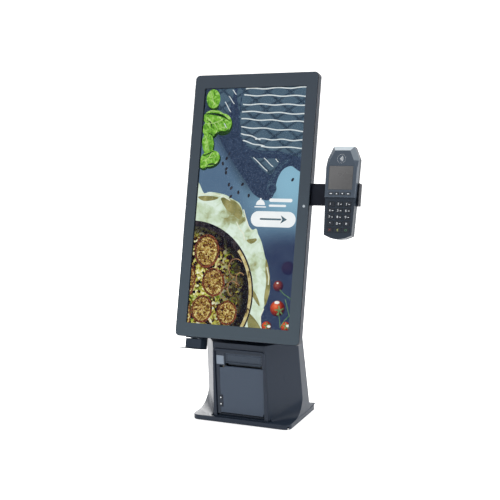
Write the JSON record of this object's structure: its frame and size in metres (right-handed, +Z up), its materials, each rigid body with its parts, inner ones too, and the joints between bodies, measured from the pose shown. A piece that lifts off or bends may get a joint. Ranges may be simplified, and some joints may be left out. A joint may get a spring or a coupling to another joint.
{
  "type": "touchscreen kiosk",
  "caption": "Counter-top self-service kiosk: leaning portrait touch display on a moulded stand with built-in receipt printer, scanner shelf and side-mounted payment terminal.",
  "frame": {"origin": "on the counter, under the middle of the stand's foot", "axes": "+Z up, -Y towards the customer, +X to the customer's right"},
  "size_m": [0.3837, 0.1828, 0.7135],
  "materials": {
    "stand_moulding": "fine textured dark grey moulding",
    "ballast_steel": "black powder coat",
    "grip_rubber": "matt rubber sheet",
    "screw_steel": "zinc plated",
    "spine_steel": "powder coat",
    "pin_steel": "ground steel",
    "inlet_plastic": "black moulding",
    "lock_metal": "nickel plated",
    "printer_plastic": "satin moulding",
    "printer_cover_plastic": "satin gloss moulding",
    "cutter_steel": "bright edge",
    "platen_rubber": "ground rubber",
    "gear_plastic": "natural acetal",
    "motor_metal": "plated can",
    "head_aluminium": "mill finish",
    "receipt_paper": "smooth paper",
    "open_button_plastic": "light grey moulding",
    "printer_key": "dark moulding",
    "cover_glass": "polished glass with a printed black border",
    "gasket_foam": "foam tape",
    "lcd_panel": "lit display panel in a dark frame",
    "sensor_plastic": "grey lens",
    "frame_aluminium": "dark anodised",
    "rear_plastic": "textured moulding",
    "circuit_board": "solder mask",
    "speaker_plastic": "black moulding",
    "bracket_steel": "powder coat",
    "shelf_steel": "powder coat",
    "scanner_plastic": "dark moulding",
    "scanner_window": "tinted window",
    "arm_steel": "black powder coat",
    "terminal_plastic": "satin dark moulding",
    "terminal_plastic_rear": "fine textured moulding",
    "terminal_screen": "unlit screen under a hard lens",
    "key_rubber": "silicone key with printed legend",
    "soft_key_rubber": "silicone key with printed mark"
  },
  "bodies": {
    "stand": {"stand_shell": "stand_moulding", "base_plate": "ballast_steel", "grip_pad": "grip_rubber", "stand_screws": "screw_steel", "stand_spine": "spine_steel", "tilt_pin": "pin_steel", "power_inlet": "inlet_plastic", "door_hinge_pin": "pin_steel", "printer_case": "printer_plastic", "exit_bezel": "printer_plastic", "tear_bar": "cutter_steel", "feed_motor": "motor_metal", "print_head": "head_aluminium"},
    "rear_door": {"rear_door": "stand_moulding"},
    "lock": {"lock_cam": "lock_metal"},
    "printer_flap": {"printer_cover": "printer_cover_plastic"},
    "platen": {"platen_roller": "platen_rubber", "platen_shaft": "pin_steel"},
    "motor_pinion": {"motor_gear": "gear_plastic"},
    "roll": {"paper_roll": "receipt_paper"},
    "open_key": {"open_button": "open_button_plastic"},
    "feed_key": {"feed_button": "printer_key"},
    "printer_power_key": {"printer_power_button": "printer_key"},
    "display": {"cover_glass": "cover_glass", "glass_gasket": "gasket_foam", "lcd_panel": "lcd_panel", "light_sensor": "sensor_plastic", "mid_frame": "frame_aluminium", "rear_cover": "rear_plastic", "main_board": "circuit_board", "speakers": "speaker_plastic", "tilt_bracket": "bracket_steel", "head_screws": "screw_steel", "scanner_bracket": "shelf_steel", "scanner_body": "scanner_plastic", "scanner_window": "scanner_window", "terminal_arm": "arm_steel"},
    "display_power_key": {"display_power_button": "printer_key"},
    "terminal": {"terminal_base_case": "terminal_plastic_rear", "terminal_top_case": "terminal_plastic", "terminal_screen": "terminal_screen"},
    "key_1_cap": {"key_1": "key_rubber"},
    "key_2_cap": {"key_2": "key_rubber"},
    "key_3_cap": {"key_3": "key_rubber"},
    "key_4_cap": {"key_4": "key_rubber"},
    "key_5_cap": {"key_5": "key_rubber"},
    "key_6_cap": {"key_6": "key_rubber"},
    "key_7_cap": {"key_7": "key_rubber"},
    "key_8_cap": {"key_8": "key_rubber"},
    "key_9_cap": {"key_9": "key_rubber"},
    "key_star_cap": {"key_star": "key_rubber"},
    "key_0_cap": {"key_0": "key_rubber"},
    "key_hash_cap": {"key_hash": "key_rubber"},
    "key_cancel_cap": {"key_cancel": "key_rubber"},
    "key_clear_cap": {"key_clear": "key_rubber"},
    "key_enter_cap": {"key_enter": "key_rubber"},
    "soft_key_1_cap": {"soft_key_1": "soft_key_rubber"},
    "soft_key_2_cap": {"soft_key_2": "soft_key_rubber"},
    "soft_key_3_cap": {"soft_key_3": "soft_key_rubber"},
    "soft_key_4_cap": {"soft_key_4": "soft_key_rubber"}
  },
  "joints": [
    {"name": "display_tilt", "type": "hinge", "parent": "stand", "child": "display", "pos_m": [0, -0.001, 0.252], "axis": [-1, 0, 0], "range_deg": [-3, 12]},
    {"name": "printer_cover_hinge", "type": "hinge", "parent": "stand", "child": "printer_flap", "pos_m": [0, -0.0615, 0.023], "axis": [1, 0, 0], "range_deg": [0, 85]},
    {"name": "roll_spin", "type": "hinge", "parent": "stand", "child": "roll", "pos_m": [0, -0.022, 0.05], "axis": [1, 0, 0], "continuous": true},
    {"name": "platen_spin", "type": "hinge", "parent": "printer_flap", "child": "platen", "pos_m": [0, -0.0545, 0.1125], "axis": [1, 0, 0], "continuous": true},
    {"name": "motor_spin", "type": "hinge", "parent": "stand", "child": "motor_pinion", "pos_m": [-0.0388, -0.0491, 0.10315], "axis": [1, 0, 0], "continuous": true},
    {"name": "open_button_press", "type": "slide", "parent": "stand", "child": "open_key", "axis": [0, 1, 0], "range_m": [0, 0.0025], "stiffness_N_per_m": 400},
    {"name": "feed_button_press", "type": "slide", "parent": "stand", "child": "feed_key", "axis": [0, 1, 0], "range_m": [0, 0.001], "stiffness_N_per_m": 400},
    {"name": "printer_power_press", "type": "slide", "parent": "stand", "child": "printer_power_key", "axis": [0, 1, 0], "range_m": [0, 0.001], "stiffness_N_per_m": 400},
    {"name": "rear_door_hinge", "type": "hinge", "parent": "stand", "child": "rear_door", "pos_m": [-0.06, 0.03282, 0.11208], "axis": [0, -0.1107, 0.9939], "range_deg": [0, 110]},
    {"name": "lock_turn", "type": "hinge", "parent": "rear_door", "child": "lock", "pos_m": [0.04, 0.02912, 0.11368], "axis": [0, -0.9939, -0.1107], "range_deg": [0, 90]},
    {"name": "display_power_press", "type": "slide", "parent": "display", "child": "display_power_key", "axis": [0, 0.2639, 0.9646], "range_m": [0, 0.001], "stiffness_N_per_m": 400},
    {"name": "terminal_lift", "type": "slide", "parent": "display", "child": "terminal", "axis": [0, 0.2639, 0.9646], "range_m": [0, 0.09]},
    {"name": "key_1_press", "type": "slide", "parent": "terminal", "child": "key_1_cap", "axis": [0, 0.9646, -0.2639], "range_m": [0, 0.001], "stiffness_N_per_m": 300},
    {"name": "key_2_press", "type": "slide", "parent": "terminal", "child": "key_2_cap", "axis": [0, 0.9646, -0.2639], "range_m": [0, 0.001], "stiffness_N_per_m": 300},
    {"name": "key_3_press", "type": "slide", "parent": "terminal", "child": "key_3_cap", "axis": [0, 0.9646, -0.2639], "range_m": [0, 0.001], "stiffness_N_per_m": 300},
    {"name": "key_4_press", "type": "slide", "parent": "terminal", "child": "key_4_cap", "axis": [0, 0.9646, -0.2639], "range_m": [0, 0.001], "stiffness_N_per_m": 300},
    {"name": "key_5_press", "type": "slide", "parent": "terminal", "child": "key_5_cap", "axis": [0, 0.9646, -0.2639], "range_m": [0, 0.001], "stiffness_N_per_m": 300},
    {"name": "key_6_press", "type": "slide", "parent": "terminal", "child": "key_6_cap", "axis": [0, 0.9646, -0.2639], "range_m": [0, 0.001], "stiffness_N_per_m": 300},
    {"name": "key_7_press", "type": "slide", "parent": "terminal", "child": "key_7_cap", "axis": [0, 0.9646, -0.2639], "range_m": [0, 0.001], "stiffness_N_per_m": 300},
    {"name": "key_8_press", "type": "slide", "parent": "terminal", "child": "key_8_cap", "axis": [0, 0.9646, -0.2639], "range_m": [0, 0.001], "stiffness_N_per_m": 300},
    {"name": "key_9_press", "type": "slide", "parent": "terminal", "child": "key_9_cap", "axis": [0, 0.9646, -0.2639], "range_m": [0, 0.001], "stiffness_N_per_m": 300},
    {"name": "key_star_press", "type": "slide", "parent": "terminal", "child": "key_star_cap", "axis": [0, 0.9646, -0.2639], "range_m": [0, 0.001], "stiffness_N_per_m": 300},
    {"name": "key_0_press", "type": "slide", "parent": "terminal", "child": "key_0_cap", "axis": [0, 0.9646, -0.2639], "range_m": [0, 0.001], "stiffness_N_per_m": 300},
    {"name": "key_hash_press", "type": "slide", "parent": "terminal", "child": "key_hash_cap", "axis": [0, 0.9646, -0.2639], "range_m": [0, 0.001], "stiffness_N_per_m": 300},
    {"name": "key_cancel_press", "type": "slide", "parent": "terminal", "child": "key_cancel_cap", "axis": [0, 0.9646, -0.2639], "range_m": [0, 0.001], "stiffness_N_per_m": 300},
    {"name": "key_clear_press", "type": "slide", "parent": "terminal", "child": "key_clear_cap", "axis": [0, 0.9646, -0.2639], "range_m": [0, 0.001], "stiffness_N_per_m": 300},
    {"name": "key_enter_press", "type": "slide", "parent": "terminal", "child": "key_enter_cap", "axis": [0, 0.9646, -0.2639], "range_m": [0, 0.001], "stiffness_N_per_m": 300},
    {"name": "soft_key_1_press", "type": "slide", "parent": "terminal", "child": "soft_key_1_cap", "axis": [0, 0.9646, -0.2639], "range_m": [0, 0.001], "stiffness_N_per_m": 300},
    {"name": "soft_key_2_press", "type": "slide", "parent": "terminal", "child": "soft_key_2_cap", "axis": [0, 0.9646, -0.2639], "range_m": [0, 0.001], "stiffness_N_per_m": 300},
    {"name": "soft_key_3_press", "type": "slide", "parent": "terminal", "child": "soft_key_3_cap", "axis": [0, 0.9646, -0.2639], "range_m": [0, 0.001], "stiffness_N_per_m": 300},
    {"name": "soft_key_4_press", "type": "slide", "parent": "terminal", "child": "soft_key_4_cap", "axis": [0, 0.9646, -0.2639], "range_m": [0, 0.001], "stiffness_N_per_m": 300}
  ],
  "couplings": [
    {"joint": "platen_spin", "follows": "roll_spin", "ratio": -5},
    {"joint": "motor_spin", "follows": "roll_spin", "ratio": 10}
  ]
}
